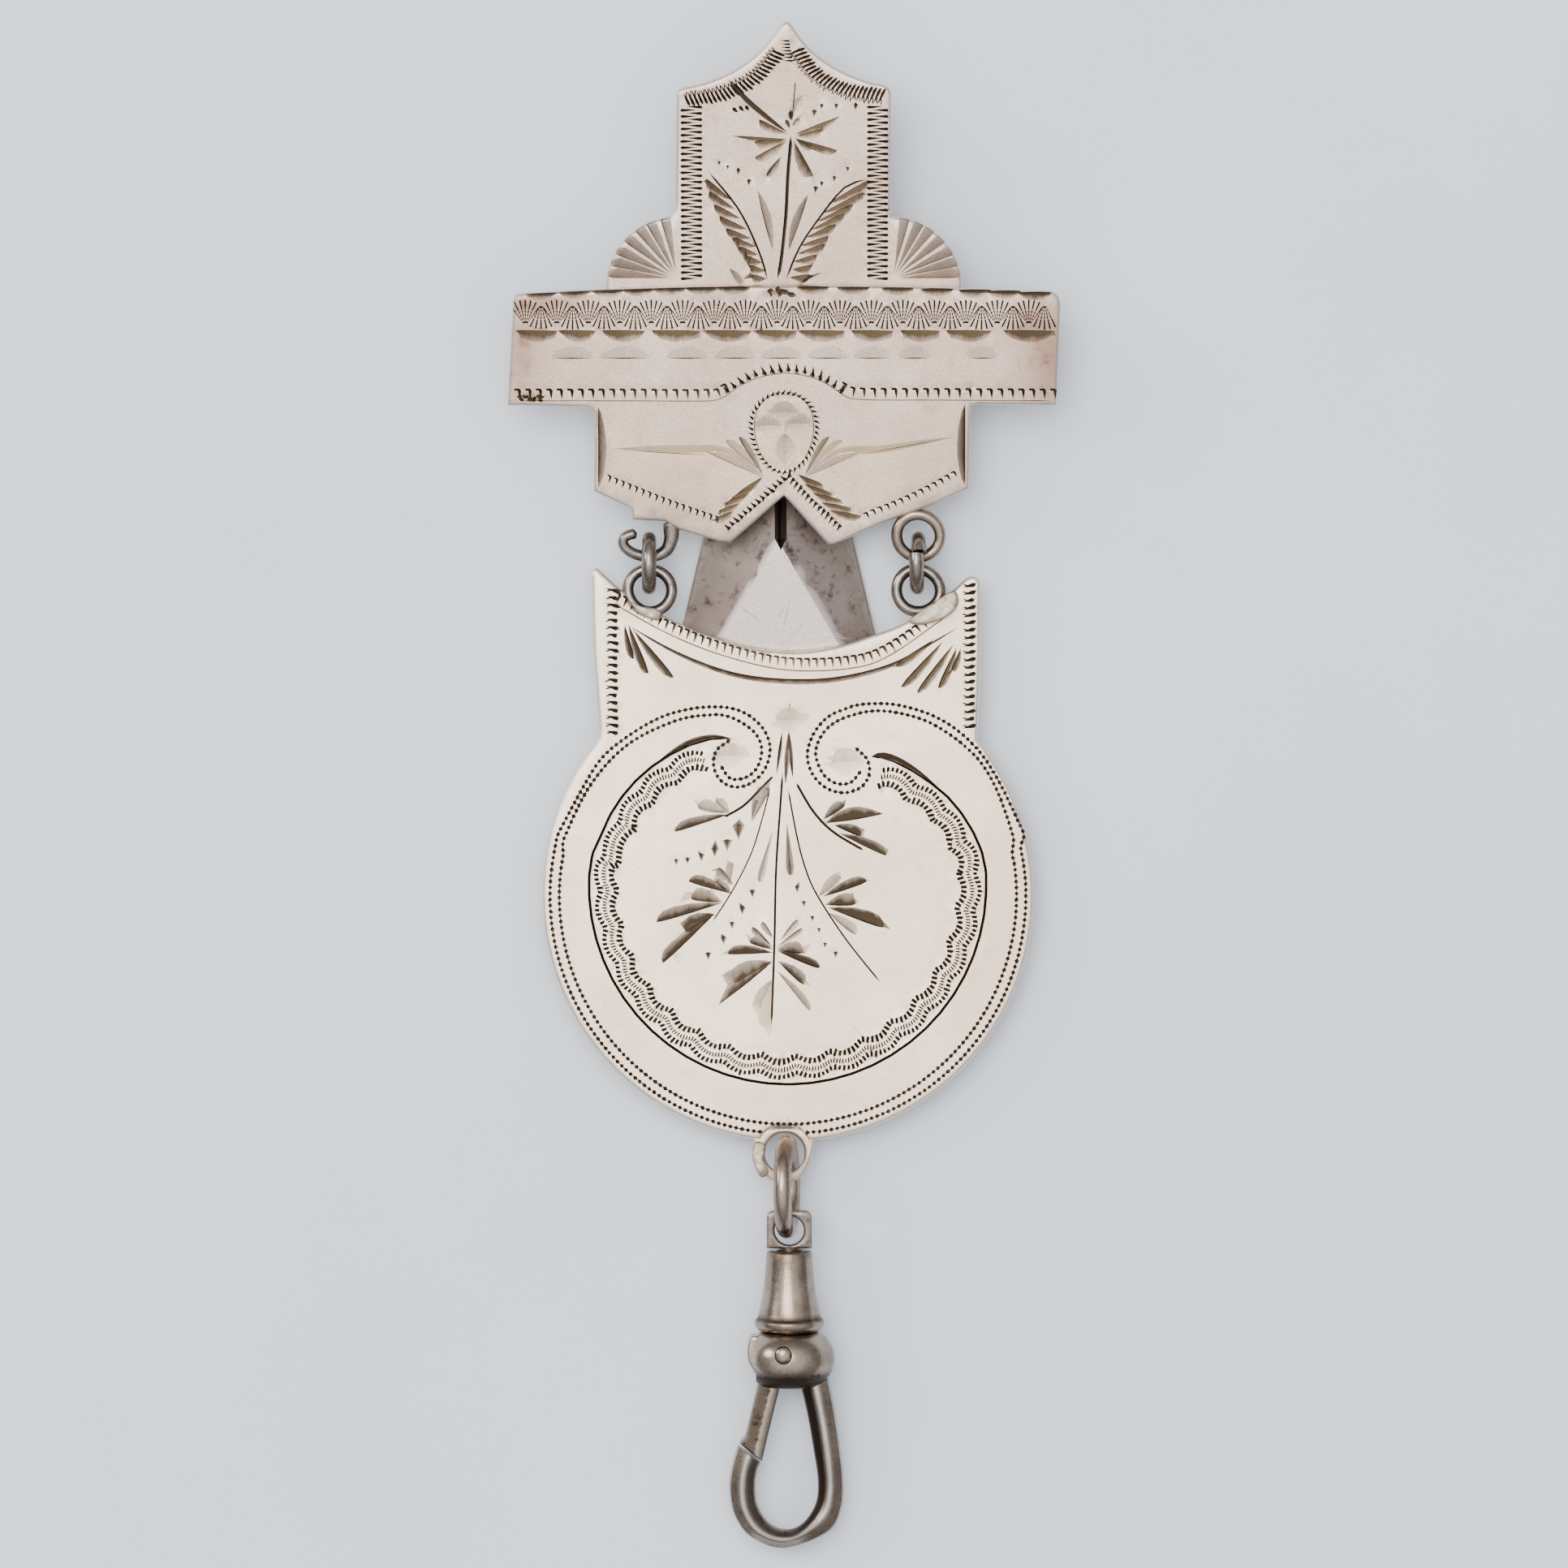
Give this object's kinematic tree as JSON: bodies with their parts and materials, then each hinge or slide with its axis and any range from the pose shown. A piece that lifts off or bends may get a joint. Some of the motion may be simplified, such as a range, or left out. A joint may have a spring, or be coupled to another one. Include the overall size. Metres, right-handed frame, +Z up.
{
  "type": "pocket watch fob chain",
  "caption": "Engraved silver waistband-clip watch fob: crown and bar plaque on a spring clip, linked disc pendant and a swivel snap hook.",
  "frame": {"origin": "on the surface it lies on, under the middle of its outline", "axes": "+X across the bar, +Y from the hook up to the crown's tip, +Z up from the surface, out of the engraved faces"},
  "size_m": [0.0414, 0.1148, 0.0084],
  "materials": {
    "satin_silver": "engraved warm satin silver, brown in the cuts",
    "bright_silver": "engraved bright silver, matt cream ground",
    "ring_silver": "polished dark silver wire",
    "swivel_silver": "polished warm silver",
    "tarnished_silver": "brown tarnished silver, scratched",
    "solder": "dull lumpy silver solder",
    "spring_steel": "plain spring steel"
  },
  "bodies": {
    "plaque": {"crown_plate": "satin_silver", "bar_apron_plate": "satin_silver", "upper_right_ring": "ring_silver", "upper_left_open_ring": "ring_silver", "clip_bend": "tarnished_silver"},
    "waist_blade": {"waist_blade": "tarnished_silver"},
    "links": {"right_link": "ring_silver", "left_link": "ring_silver"},
    "pendant": {"pendant_plate": "bright_silver", "lower_right_ring": "ring_silver", "lower_left_ring": "ring_silver", "bottom_lug_ring": "ring_silver", "lower_right_solder": "solder", "lower_left_solder": "solder", "bottom_lug_solder": "solder"},
    "connector_link": {"connector_link": "ring_silver"},
    "swivel_eye": {"swivel_eye": "swivel_silver"},
    "swivel_clip": {"swivel_barrel": "swivel_silver", "ball_collar": "swivel_silver", "hook_body": "swivel_silver", "gate_pin": "ring_silver", "gate_spring": "spring_steel"},
    "gate": {"gate": "swivel_silver"}
  },
  "joints": [
    {"name": "clip_flex", "type": "hinge", "parent": "plaque", "child": "waist_blade", "pos_m": [0, 0.04918, 0.0004], "axis": [1, 0, 0], "range_deg": [0, 6], "stiffness_Nm_per_rad": 1.1},
    {"name": "links_swing", "type": "hinge", "parent": "plaque", "child": "links", "pos_m": [0.01005, 0.0173, 0.0036], "axis": [-1, 0, 0], "range_deg": [0, 60]},
    {"name": "pendant_swing", "type": "hinge", "parent": "links", "child": "pendant", "pos_m": [0.01005, 0.01643, 0.00275], "axis": [-1, 0, 0], "range_deg": [0, 60]},
    {"name": "connector_turn", "type": "hinge", "parent": "pendant", "child": "connector_link", "pos_m": [0.0002, -0.03007, 0.00395], "axis": [-0.9945, 0, -0.1045], "range_deg": [-45, 60]},
    {"name": "eye_swing", "type": "hinge", "parent": "connector_link", "child": "swivel_eye", "pos_m": [0.0004, -0.03331, 0.00424], "axis": [-1, 0, 0], "range_deg": [-6, 25]},
    {"name": "clip_swivel", "type": "hinge", "parent": "swivel_eye", "child": "swivel_clip", "pos_m": [0.0004, -0.04297, 0.0034], "axis": [0, 0.9962, 0.0872], "continuous": true},
    {"name": "gate_pivot", "type": "hinge", "parent": "swivel_clip", "child": "gate", "pos_m": [-0.00005, -0.04238, 0.00345], "axis": [0, -0.0872, 0.9962], "range_deg": [0, 18], "stiffness_Nm_per_rad": 0.02, "springref_deg": -5.73}
  ]
}
